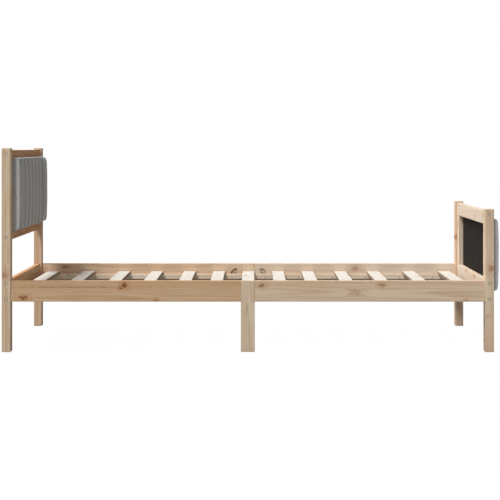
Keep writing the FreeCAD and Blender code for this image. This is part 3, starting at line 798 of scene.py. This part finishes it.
@dataclass
class SlatBase:
    """The slats and the small screws that hold slats and ledgers."""

    slats: int = 13
    first_seed: int = 101
    # How strongly painted shade darkens the slats' long edges.
    edge_shade: float = 0.95
    screw_radius: float = 0.0038
    screw_rise: float = 0.0008
    screw_sides: int = 24
    screw_profile: tuple[tuple[float, float], ...] = ((1.0, -0.4), (1.0, 0.25), (0.82, 0.85), (0.5, 1.0))
    cross_arm: float = 0.28
    slat_screw_inset: float = 0.011
    ledger_screw_start: float = 0.080
    ledger_screw_pitch: float = 0.162
    ledger_screw_level: float = 0.008
    spin_seed: int = 5

    def build(self, steel: bpy.types.Material) -> None:
        """Dresses the slats and sets the screws.

        Args:
            steel: Material of the screws.
        """
        names = [f"slat_{number:02d}" for number in range(1, self.slats + 1)]
        for number, name in enumerate(names):
            Board(name, Along.SLAT, Tone.CREAM, edge_shade=self.edge_shade).finish(self.first_seed + number)
        recipe = self.screw_recipe()
        head = self.screw_head()
        rows = {"slat_screws": self.slat_places(names), "ledger_screws": self.ledger_places()}
        for label, places in rows.items():
            piece = recipe.make(label, self.marks(places), steel, Screw=head, Seed=self.spin_seed)
            register(piece, "zinc_steel")
        bpy.data.objects.remove(head)

    def slat_places(self, names: list[str]) -> list[tuple[Vector, Vector]]:
        """Points and directions of the screws in the ends of the slats.

        Args:
            names: The slats' nodes.

        Returns:
            A point and a direction for each screw.
        """
        places = []
        for name in names:
            low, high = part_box(name)
            for across in (low.y + self.slat_screw_inset, high.y - self.slat_screw_inset):
                places.append((Vector(((low.x + high.x) / 2, across, high.z)), Vector((0, 0, 1))))
        return places

    def ledger_places(self) -> list[tuple[Vector, Vector]]:
        """Points and directions of the screws in the inner faces of the ledgers.

        Returns:
            A point and a direction for each screw.
        """
        low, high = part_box("middle_leg_right")
        middle = (low.x + high.x) / 2
        places = []
        for side, facing in (("right", 1.0), ("left", -1.0)):
            for end, way in ((End.HEAD, -1.0), (End.FOOT, 1.0)):
                low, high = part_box(f"slat_ledger_{side}_{end.value}")
                inner = high.y if facing > 0 else low.y
                reach = self.ledger_screw_start
                while low.x < middle + way * reach < high.x:
                    point = Vector((middle + way * reach, inner, low.z + self.ledger_screw_level))
                    places.append((point, Vector((0, facing, 0))))
                    reach += self.ledger_screw_pitch
        return places

    def marks(self, places: list[tuple[Vector, Vector]]) -> bpy.types.Mesh:
        """A mesh of loose points that carry the direction of each screw.

        Args:
            places: Points and directions.

        Returns:
            The mesh, with the directions in an attribute.
        """
        mesh = bpy.data.meshes.new("screw_marks")
        mesh.from_pydata([point for point, _ in places], [], [])
        facing = mesh.attributes.new("facing", "FLOAT_VECTOR", "POINT")
        for item, (_, direction) in zip(facing.data, places):
            item.vector = direction
        return mesh

    def screw_head(self) -> bpy.types.Object:
        """A low domed screw head with a cross recess, pointing up from the origin.

        Returns:
            The head, which isn't linked to the scene.
        """
        form = bmesh.new()
        rings = [self.screw_ring(form, lambda angle, place=place: place) for place in self.screw_profile]
        rings.append(self.screw_ring(form, self.cross_recess))
        for outer, inner in zip(rings, rings[1:]):
            for step in range(self.screw_sides):
                after = (step + 1) % self.screw_sides
                form.faces.new((outer[step], outer[after], inner[after], inner[step]))
        form.faces.new(rings[-1])
        form.faces.new(list(reversed(rings[0])))
        mesh = bpy.data.meshes.new("screw_head")
        form.to_mesh(mesh)
        form.free()
        return bpy.data.objects.new("screw_head", mesh)

    def screw_ring(self, form: bmesh.types.BMesh, shape: Callable) -> list[bmesh.types.BMVert]:
        """Adds a ring of points to a screw head.

        Args:
            form: The head so far.
            shape: Gives the shares of the head's radius and rise at an angle.

        Returns:
            The new points.
        """
        ring = []
        for step in range(self.screw_sides):
            angle = 2 * math.pi * step / self.screw_sides
            share, rise = shape(angle)
            reach, level = share * self.screw_radius, rise * self.screw_rise
            ring.append(form.verts.new((reach * math.cos(angle), reach * math.sin(angle), level)))
        return ring

    def cross_recess(self, angle: float) -> tuple[float, float]:
        """Shares of radius and rise of the recess's floor, low in the four arms of the cross."""
        in_arm = min(abs(math.sin(angle)), abs(math.cos(angle))) < self.cross_arm
        return (0.46, -0.2) if in_arm else (0.2, 0.9)

    def screw_recipe(self) -> GeometryRecipe:
        """A tree that sets a screw on every mark, along its direction and at a chance turn.

        Returns:
            The tree, with the screw and the seed as inputs.
        """
        recipe = GeometryRecipe("ScrewsOnMarks")
        sheet = recipe.sheet
        screw = recipe.ask("Screw", "Object")
        seed = recipe.ask("Seed", "Int")
        facing = sheet.add("GeometryNodeInputNamedAttribute", {"Name": "facing"}, data_type="FLOAT_VECTOR")
        aligned = sheet.add("FunctionNodeAlignRotationToVector", {"Vector": facing.outputs[0]}, axis="Z")
        head = sheet.add("GeometryNodeObjectInfo", {"Object": screw})
        placed = sheet.add("GeometryNodeInstanceOnPoints", {
            "Points": recipe.start.outputs["Geometry"], "Instance": head.outputs["Geometry"],
            "Rotation": aligned.outputs[0]})
        spin = sheet.add("FunctionNodeRandomValue", {"Min": (0.0, 0.0, 0.0), "Max": (0.0, 0.0, math.pi),
                                                     "Seed": seed}, data_type="FLOAT_VECTOR")
        turned = sheet.add("GeometryNodeRotateInstances", {"Instances": placed.outputs[0],
                                                           "Rotation": spin.outputs[0]})
        recipe.close(turned.outputs[0])
        return recipe


@dataclass
class ChannelledPad:
    """A padded panel with upright channels: fabric over foam on a board, with a cloth over the back."""

    end: End
    channels: int = 8
    columns_per_channel: int = 16
    rows: int = 56
    # Depths of the face from the back, and the curves of the channels and of the two end channels.
    rim: float = 0.012
    fullness: float = 2.0
    rounding: float = 0.5
    seam_depth: float = 0.0125
    seam_draw: float = 0.005
    end_fullness: float = 4.0
    end_rounding: float = 0.36
    end_depth: float = 0.0365
    end_draw: float = 0.002
    # From top to bottom the face bows a little and turns over sharply.
    flatness: float = 150.0
    bow: float = 0.0058
    bow_power: float = 3.2
    # The back has a rim round the recess for the board.
    back_rim: float = 0.0057
    recess: float = 0.0093
    # The face starts lower by the slack, and the cloth simulation swells it.
    slack: float = 0.0060
    swell_limit: float = 0.006
    pressure: float = 2.5
    stiffness: float = 20.0
    bending: float = 1.0
    quality: int = 6
    frames: int = 20
    # Seams and stitches.
    crease: float = 0.0016
    pucker: float = 0.0007
    pucker_length: float = 0.028
    pucker_reach: float = 0.016
    pucker_fade: float = 0.003
    loose_waves: float = 14.0
    stitch_pitch: float = 0.0055
    stitch_length: float = 0.0036
    thread: float = 0.0009
    # The thin cloth over the back.
    cloth_columns: int = 96
    cloth_rows: int = 36
    cloth_thickness: float = 0.0005
    ripple: float = 0.00018

    def __post_init__(self) -> None:
        """Looks up the cushion's place in the CAD model."""
        self.node = f"{self.end.value}_pad_cushion"
        self.low, self.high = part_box(self.node)

    def build(self, fabric: bpy.types.Material, thread: bpy.types.Material,
              cloth: bpy.types.Material) -> None:
        """Makes the cushion, its stitches and the cloth over its back.

        Args:
            fabric: Material of the cushion.
            thread: Material of the stitches.
            cloth: Material of the back.
        """
        cushion = self.cushion_face(fabric)
        self.close_back(cushion)
        self.inflate(cushion)
        self.tighten_seams(cushion)
        self.refine(cushion)
        self.gather(cushion)
        register(cushion, "pad_fabric", self.node)
        self.sew(cushion, thread)
        self.back_cloth(cloth)

    def cushion_face(self, fabric: bpy.types.Material) -> bpy.types.Object:
        """Shapes the face by rule: every channel swells between its seams and rolls over the edges.

        Args:
            fabric: Material of the cushion.

        Returns:
            The open face.
        """
        recipe = GeometryRecipe("ChannelledFace")
        sheet = recipe.sheet
        width, height, depth, rim = map(recipe.ask, ("Width", "Height", "Depth", "Rim"))
        end_depth, end_draw, end_fullness = map(recipe.ask, ("End Depth", "End Draw", "End Fullness"))
        seam_depth, seam_draw, flatness = map(recipe.ask, ("Seam Depth", "Seam Draw", "Flatness"))
        bow, bow_power = map(recipe.ask, ("Bow", "Bow Power"))
        corner = recipe.ask("Corner", "Vector")
        channels = recipe.ask("Channels", "Int")
        columns = recipe.ask("Columns", "Int")
        rows = recipe.ask("Rows", "Int")
        grid = sheet.add("GeometryNodeMeshGrid", {"Size X": 1.0, "Size Y": 1.0, "Vertices X": columns,
                                                  "Vertices Y": rows})
        grid_x, grid_y, _ = sheet.split(sheet.add("GeometryNodeInputPosition").outputs[0])

        count = sheet.math("MULTIPLY", sheet.math("ADD", grid_x, 0.5), channels)
        number = sheet.math("MINIMUM", sheet.math("FLOOR", sheet.math("ADD", count, HAIR)),
                            sheet.math("SUBTRACT", channels, 1.0))
        phase = sheet.math("MULTIPLY", sheet.math("SUBTRACT", count, number), math.pi)
        ease = sheet.math("MULTIPLY_ADD", sheet.math("COSINE", phase), -0.5, 0.5)
        across = sheet.math("DIVIDE", sheet.math("ADD", number, ease), channels)
        from_middle = sheet.math("ABSOLUTE", sheet.math("SUBTRACT", across, 0.5))
        edge_of_end = sheet.math("SUBTRACT", 0.5, sheet.math("DIVIDE", 0.5, channels))
        at_end = sheet.math("GREATER_THAN", from_middle, sheet.math("ADD", edge_of_end, HAIR))
        offset = sheet.math("ABSOLUTE", sheet.math("COSINE", phase))
        power = sheet.between(at_end, self.fullness, end_fullness)
        room = sheet.math("SUBTRACT", 1.0, sheet.math("POWER", offset, power))
        rounding = sheet.between(at_end, self.rounding, self.end_rounding)
        swell = sheet.math("POWER", sheet.math("MAXIMUM", room, 0.0), rounding)

        seam_level = sheet.math("SUBTRACT", depth, seam_depth)
        edge = sheet.between(at_end, seam_level, end_depth)
        draw = sheet.between(at_end, seam_draw, end_draw)
        drawn = sheet.math("MULTIPLY", draw, sheet.math("SUBTRACT", 1.0, swell))

        rise = sheet.math("SINE", sheet.math("MULTIPLY", grid_y, math.pi))
        reach = sheet.math("ABSOLUTE", rise)
        bowed = sheet.math("MULTIPLY", bow, sheet.math("POWER", reach, bow_power))
        crest = sheet.math("SUBTRACT", sheet.between(swell, edge, depth), bowed)
        roll = sheet.math("POWER", reach, flatness)
        front = sheet.math("SQRT", sheet.math("MAXIMUM", sheet.math("SUBTRACT", 1.0, roll), 0.0))
        x = sheet.between(front, rim, crest)
        half = sheet.math("SUBTRACT", sheet.math("MULTIPLY", height, 0.5), drawn)
        z = sheet.math("MULTIPLY_ADD", rise, half, sheet.math("MULTIPLY", height, 0.5))
        y = sheet.math("MULTIPLY", across, width)
        place = sheet.vector("ADD", sheet.triple(x, y, z), corner).outputs[0]
        shaped = sheet.add("GeometryNodeSetPosition", {"Geometry": grid.outputs[0], "Position": place})
        recipe.close(shaped.outputs[0])

        size = self.high - self.low
        return recipe.make(
            f"{self.end.value}_pad", bpy.data.meshes.new("pad_start"), fabric,
            Width=size.y, Height=size.z, Depth=size.x - self.slack, Rim=self.rim, End_Depth=self.end_depth,
            Seam_Depth=self.seam_depth - self.slack, Seam_Draw=self.seam_draw, End_Draw=self.end_draw,
            End_Fullness=self.end_fullness, Flatness=self.flatness, Bow=self.bow, Bow_Power=self.bow_power,
            Corner=self.low, Channels=self.channels,
            Columns=self.channels * self.columns_per_channel + 1, Rows=self.rows + 1)

    def seam_columns(self) -> list[int]:
        """Numbers of the columns of points that lie in a seam, the two ends included."""
        return [number * self.columns_per_channel for number in range(self.channels + 1)]

    def column(self, number: int) -> list[int]:
        """Numbers of the points in one column of the face, from bottom to top."""
        start = number * (self.rows + 1)
        return list(range(start, start + self.rows + 1))

    def close_back(self, cushion: bpy.types.Object) -> None:
        """Turns the fabric round the edges to the back and closes it with a recess for the board.

        Args:
            cushion: The open face, which becomes a closed form.
        """
        form = bmesh.new()
        form.from_mesh(cushion.data)
        form.verts.ensure_lookup_table()
        last = self.channels * self.columns_per_channel
        loop = [self.column(column)[0] for column in range(last)] + self.column(last)[:-1]
        loop += [self.column(column)[-1] for column in range(last, 0, -1)] + self.column(0)[:0:-1]
        edge = [form.verts[number] for number in loop]
        low, high = self.low, self.high

        def inset(point: Vector, gap: float, x: float) -> Vector:
            """The point moved to a plane and in from the outline by a gap.

            Args:
                point: A point on the outline.
                gap: How far in it moves.
                x: Where the plane lies.

            Returns:
                The moved point.
            """
            y = min(max(point.y, low.y + gap), high.y - gap)
            z = min(max(point.z, low.z + gap), high.z - gap)
            return Vector((x, y, z))

        starts = [vertex.co.copy() for vertex in edge]
        ends = [Vector((low.x, start.y, start.z)) for start in starts]
        loops = [edge]
        for share in (0.35, 0.7, 1.0):
            loops.append([form.verts.new(start.lerp(end, share)) for start, end in zip(starts, ends)])
        loops.append([form.verts.new(inset(start, self.back_rim, low.x)) for start in starts])
        loops.append([form.verts.new(inset(start, self.back_rim, low.x + self.recess)) for start in starts])
        for outer, inner in zip(loops, loops[1:]):
            for step in range(len(edge)):
                after = (step + 1) % len(edge)
                form.faces.new((outer[step], outer[after], inner[after], inner[step]))
        floor = loops[-1]
        bottom, top = floor[:last + 1], floor[2 * last + self.rows:last + self.rows - 1:-1]
        for step in range(1, last - 1):
            form.faces.new((bottom[step], bottom[step + 1], top[step + 1], top[step]))
        form.faces.new([bottom[1], top[1], *floor[2 * last + self.rows:], bottom[0]])
        form.faces.new([*floor[last - 1:last + self.rows + 2]])
        bmesh.ops.remove_doubles(form, verts=[vertex for ring in loops[4:] for vertex in ring], dist=WELD)
        bmesh.ops.recalc_face_normals(form, faces=form.faces)
        form.to_mesh(cushion.data)
        form.free()
        shade_smooth(cushion.data)

    def inflate(self, cushion: bpy.types.Object) -> None:
        """Lets the fabric swell between its seams with a cloth simulation.

        Args:
            cushion: The closed form; its points move by no more than the limit.
        """
        points = (self.channels * self.columns_per_channel + 1) * (self.rows + 1)
        held = {number for column in self.seam_columns()[1:-1] for number in self.column(column)}
        held |= {vertex.index for vertex in cushion.data.vertices
                 if vertex.index >= points and vertex.co.x < self.low.x + self.recess + WELD}
        group = cushion.vertex_groups.new(name="held")
        group.add(sorted(held), 1.0, "REPLACE")
        starts = [vertex.co.copy() for vertex in cushion.data.vertices]
        modifier = cushion.modifiers.new("Cloth", "CLOTH")
        settings = modifier.settings
        settings.vertex_group_mass = group.name
        settings.use_pressure = True
        settings.uniform_pressure_force = self.pressure
        settings.effector_weights.gravity = 0.0
        settings.quality = self.quality
        settings.tension_stiffness = settings.compression_stiffness = self.stiffness
        settings.bending_stiffness = self.bending
        modifier.point_cache.frame_start, modifier.point_cache.frame_end = 1, self.frames
        scene = bpy.context.scene
        for number in range(self.frames + 1):
            scene.frame_set(number)
        swollen = cushion.evaluated_get(bpy.context.evaluated_depsgraph_get()).data
        moves = []
        for vertex, start, moved in zip(cushion.data.vertices, starts, swollen.vertices):
            move = moved.co - start
            moves.append(move.length)
            if move.length > self.swell_limit:
                move = move.normalized() * self.swell_limit
            vertex.co = start + move
        LOG.info("%s swelled by %.1f mm at most, %.1f mm on average", cushion.name,
                 1000 * max(moves), 1000 * sum(moves) / len(moves))
        cushion.modifiers.remove(modifier)
        cushion.vertex_groups.clear()
        scene.frame_set(1)

    def tighten_seams(self, cushion: bpy.types.Object) -> None:
        """Pulls the sewn lines into the foam so that each seam is a crisp crease.

        Args:
            cushion: The swollen form.
        """
        points = cushion.data.vertices
        for column in self.seam_columns()[1:-1]:
            for number in self.column(column):
                points[number].co.x -= self.crease

    def refine(self, cushion: bpy.types.Object) -> None:
        """Divides every face once, with the surface smoothed.

        Args:
            cushion: The form, which gets a finer mesh.
        """
        modifier = cushion.modifiers.new("Smooth", "SUBSURF")
        modifier.levels = modifier.render_levels = 1
        evaluated = cushion.evaluated_get(bpy.context.evaluated_depsgraph_get())
        result = bpy.data.meshes.new_from_object(evaluated)
        cushion.modifiers.remove(modifier)
        cushion.data = result

    def gather(self, cushion: bpy.types.Object) -> None:
        """Adds the puckers that a tight thread draws in beside each seam, and paints shade into the fabric
        there.

        Args:
            cushion: The smoothed form.
        """
        seams = [self.low.y + (self.high.y - self.low.y) * number / self.channels
                 for number in range(1, self.channels)]
        front = self.low.x + self.rim
        pressed = cushion.data.attributes.new(PAINTED_SEAM_SHADE, "FLOAT", "POINT")
        normals = [vertex.normal.copy() for vertex in cushion.data.vertices]
        for vertex, normal in zip(cushion.data.vertices, normals):
            if vertex.co.x < front:
                continue
            number = min(range(len(seams)), key=lambda item: abs(seams[item] - vertex.co.y))
            away = abs(seams[number] - vertex.co.y)
            near_seam = math.exp(-(away / self.pucker_reach) ** 2)
            # The painted shade is strongest at the seam and fades across the channel.
            pressed.data[vertex.index].value = near_seam
            fade = near_seam * min(1.0, away / self.pucker_fade)
            phase = 2.0 * vertex.co.z / self.pucker_length
            side = math.copysign(1.0, seams[number] - vertex.co.y)
            wave = noise.noise(Vector((number * 3.7, phase, side)))
            loose = noise.noise(vertex.co * self.loose_waves)
            vertex.co += normal * (self.pucker * (2.0 * wave * fade + 0.9 * loose))

    def sew(self, cushion: bpy.types.Object, thread: bpy.types.Material) -> None:
        """Sews a row of stitches along every seam of a cushion.

        Args:
            cushion: The finished form.
            thread: Material of the stitches.
        """
        points, edges = [], []
        for column in self.seam_columns()[1:-1]:
            row = [cushion.data.vertices[number] for number in self.column(column)]
            start = len(points)
            points += [vertex.co + vertex.normal * self.thread * 0.3 for vertex in row]
            edges += [(start + step, start + step + 1) for step in range(len(row) - 1)]
        path = bpy.data.meshes.new("seam_path")
        path.from_pydata(points, edges, [])
        recipe = GeometryRecipe("StitchesOnSeams")
        sheet = recipe.sheet
        pitch, length, thickness = map(recipe.ask, ("Pitch", "Length", "Thickness"))
        curve = sheet.add("GeometryNodeMeshToCurve", {0: recipe.start.outputs["Geometry"]})
        spaced = sheet.add("GeometryNodeResampleCurve", {"Curve": curve.outputs[0], "Length": pitch},
                           mode="LENGTH")
        along = sheet.add("GeometryNodeInputTangent").outputs[0]
        aligned = sheet.add("FunctionNodeAlignRotationToVector", {"Vector": along}, axis="Z")
        bead = sheet.add("GeometryNodeMeshUVSphere", {"Segments": 6, "Rings": 5, "Radius": 0.5})
        size = sheet.triple(thickness, thickness, length)
        placed = sheet.add("GeometryNodeInstanceOnPoints", {
            "Points": spaced.outputs[0], "Instance": bead.outputs[0],
            "Rotation": aligned.outputs[0], "Scale": size})
        recipe.close(placed.outputs[0])
        piece = recipe.make(f"{self.end.value}_pad_stitches", path, thread, Pitch=self.stitch_pitch,
                            Length=self.stitch_length, Thickness=self.thread)
        register(piece, "pad_fabric")

    def back_cloth(self, cloth: bpy.types.Material) -> None:
        """Stretches the thin cloth over the pad's back, with faint ripples between its edges.

        Args:
            cloth: Material of the cloth.
        """
        node = f"{self.end.value}_pad_dust_cover"
        low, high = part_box(node)
        form = bmesh.new()
        rows = []
        for column in range(self.cloth_columns + 1):
            across = column / self.cloth_columns
            row = []
            for line in range(self.cloth_rows + 1):
                up = line / self.cloth_rows
                y = low.y + (high.y - low.y) * across
                z = low.z + (high.z - low.z) * up
                from_edge = 16 * across * (1 - across) * up * (1 - up)
                wave = noise.noise(Vector((y * 9.0, z * 30.0, 3.1)))
                x = (low.x + high.x) / 2 + self.ripple * wave * from_edge
                row.append(form.verts.new((x, y, z)))
            rows.append(row)
        for first, second in zip(rows, rows[1:]):
            for line in range(self.cloth_rows):
                form.faces.new((first[line], first[line + 1], second[line + 1], second[line]))
        mesh = bpy.data.meshes.new(f"{self.end.value}_pad_back_cloth")
        form.to_mesh(mesh)
        form.free()
        mesh.materials.append(cloth)
        piece = show(mesh.name, mesh)
        shade_smooth(mesh)
        wall = piece.modifiers.new("Thickness", "SOLIDIFY")
        wall.thickness = self.cloth_thickness
        wall.offset = 0.0
        register(piece, "dust_cloth", node)


@dataclass
class Hardware:
    """Steel fasteners, beech dowels and the plywood boards in the pads."""

    steel_nodes: tuple[str, ...] = (
        "head_frame_bolts", "head_frame_barrel_nuts", "foot_frame_bolts", "foot_frame_barrel_nuts",
        "rail_bolts", "rail_barrel_nuts", "leg_studs", "half_moon_washers", "leg_nuts",
        "head_pad_screws", "foot_pad_screws")
    dowel_nodes: tuple[str, ...] = ("rail_dowels", "frame_dowels")
    board_nodes: tuple[str, ...] = ("head_pad_board", "foot_pad_board")

    def build(self, steel: bpy.types.Material) -> None:
        """Dresses the fasteners, dowels and boards.

        Args:
            steel: Material of the fasteners.
        """
        beech = BeechFinish().material("beech_dowel")
        plywood = PlywoodFinish().material("birch_plywood")
        finishes = ((self.steel_nodes, steel), (self.dowel_nodes, beech), (self.board_nodes, plywood))
        for nodes, material in finishes:
            for node in nodes:
                dress(node, material)


@dataclass(frozen=True)
class Lamp:
    """A distant lamp: where it stands, how strong it is and how wide it looks."""

    name: str
    direction: Vector
    strength: float
    angle: float

    def build(self) -> None:
        """Adds the lamp to the scene."""
        data = bpy.data.lights.new(self.name, "SUN")
        data.energy = self.strength
        data.angle = self.angle
        lamp = show(self.name, data)
        lamp.rotation_mode = "QUATERNION"
        lamp.rotation_quaternion = self.direction.to_track_quat("Z", "Y")


@dataclass
class Studio:
    """A pale floor, four distant lamps, an even sky and a camera as high as the headboard."""

    camera_place: Vector = Vector((0.00945, -6.666, 0.8613))
    lens: float = 105.72
    sensor: float = 36.0
    sight: float = 100.0
    camera_shift: tuple[float, float] = (-0.00712, -0.2044)
    lamps: tuple[Lamp, ...] = (
        Lamp("key", Vector((-0.48, 0.12, 0.87)), 2.32, 0.40),
        Lamp("front", Vector((-0.23, -0.84, 0.50)), 1.29, 0.15),
        Lamp("left", Vector((-0.92, 0.25, 0.31)), 1.02, 0.65),
        Lamp("room", Vector((0.25, -0.95, 0.20)), 0.50, 2.00))
    sky: float = 0.22
    floor_size: float = 60.0
    floor_colour: Colour = paint(128, 128, 128)
    floor_white: float = 0.9
    floor_glow: float = 1.09

    def build(self) -> None:
        """Makes floor, light, sky and camera."""
        self.floor()
        for lamp in self.lamps:
            lamp.build()
        self.sky_dome()
        self.camera()
        bpy.context.scene.view_settings.view_transform = "Standard"

    def seen(self, sheet: NodeSheet) -> Socket:
        """One where the camera, a reflection or a pane looks, nothing where light only bounces.

        Args:
            sheet: The nodes of the floor or the sky.

        Returns:
            The socket with the one or the nothing.
        """
        path = sheet.add("ShaderNodeLightPath")
        seen = sheet.math("MAXIMUM", path.outputs["Is Camera Ray"], path.outputs["Is Glossy Ray"])
        return sheet.math("MAXIMUM", seen, path.outputs["Is Transmission Ray"])

    def floor(self) -> None:
        """A plain floor that looks white and keeps a faint shadow."""
        half = self.floor_size / 2
        mesh = bpy.data.meshes.new("studio_floor")
        corners = [(-half, -half, 0), (half, -half, 0), (half, half, 0), (-half, half, 0)]
        mesh.from_pydata(corners, [], [(0, 1, 2, 3)])
        material = bpy.data.materials.new("studio_floor")
        material.use_nodes = True
        sheet = NodeSheet(material.node_tree)
        shader = material.node_tree.nodes["Principled BSDF"]
        shader.inputs["Base Color"].default_value = (*self.floor_colour, 1.0)
        shader.inputs["Roughness"].default_value = 0.9
        shader.inputs["Specular IOR Level"].default_value = 0.0
        white = sheet.add("ShaderNodeEmission", {"Strength": self.floor_glow})
        share = sheet.math("MULTIPLY", self.seen(sheet), self.floor_white)
        mixed = sheet.add("ShaderNodeMixShader", {0: share, 1: shader.outputs[0], 2: white.outputs[0]})
        output = material.node_tree.nodes["Material Output"]
        sheet.tree.links.new(mixed.outputs[0], output.inputs["Surface"])
        mesh.materials.append(material)
        show("studio_floor", mesh)

    def sky_dome(self) -> None:
        """White light from all round, which looks white to the camera."""
        world = bpy.data.worlds.new("studio_sky")
        world.use_nodes = True
        bpy.context.scene.world = world
        sheet = NodeSheet(world.node_tree)
        background = world.node_tree.nodes["Background"]
        background.inputs["Color"].default_value = (1.0, 1.0, 1.0, 1.0)
        strength = sheet.math("MULTIPLY_ADD", self.seen(sheet), 1.0 - self.sky, self.sky)
        sheet.tree.links.new(strength, background.inputs["Strength"])

    def camera(self) -> None:
        """A level camera that looks along the headboard, with its frame moved down to the bed."""
        data = bpy.data.cameras.new("camera")
        data.lens = self.lens
        data.sensor_width = self.sensor
        data.shift_x, data.shift_y = self.camera_shift
        data.clip_end = self.sight
        camera = show("camera", data)
        camera.location = self.camera_place
        camera.rotation_euler = (math.radians(90), 0.0, 0.0)
        bpy.context.scene.camera = camera


def main() -> None:
    """Builds the bed's sub-assemblies and the studio, in order."""
    logging.basicConfig(level=logging.INFO, format="%(message)s")
    steel = ZincFinish().material("zinc_plating")
    fabric = PadFabricFinish().material("pad_weave")
    thread = ThreadFinish().material("pad_thread")
    cloth = DustClothFinish().material("back_cloth")
    WoodenFrame().build()
    SlatBase().build(steel)
    Hardware().build(steel)
    ChannelledPad(End.HEAD).build(fabric, thread, cloth)
    ChannelledPad(End.FOOT).build(fabric, thread, cloth)
    Studio().build()


if __name__ == "__main__":
    main()
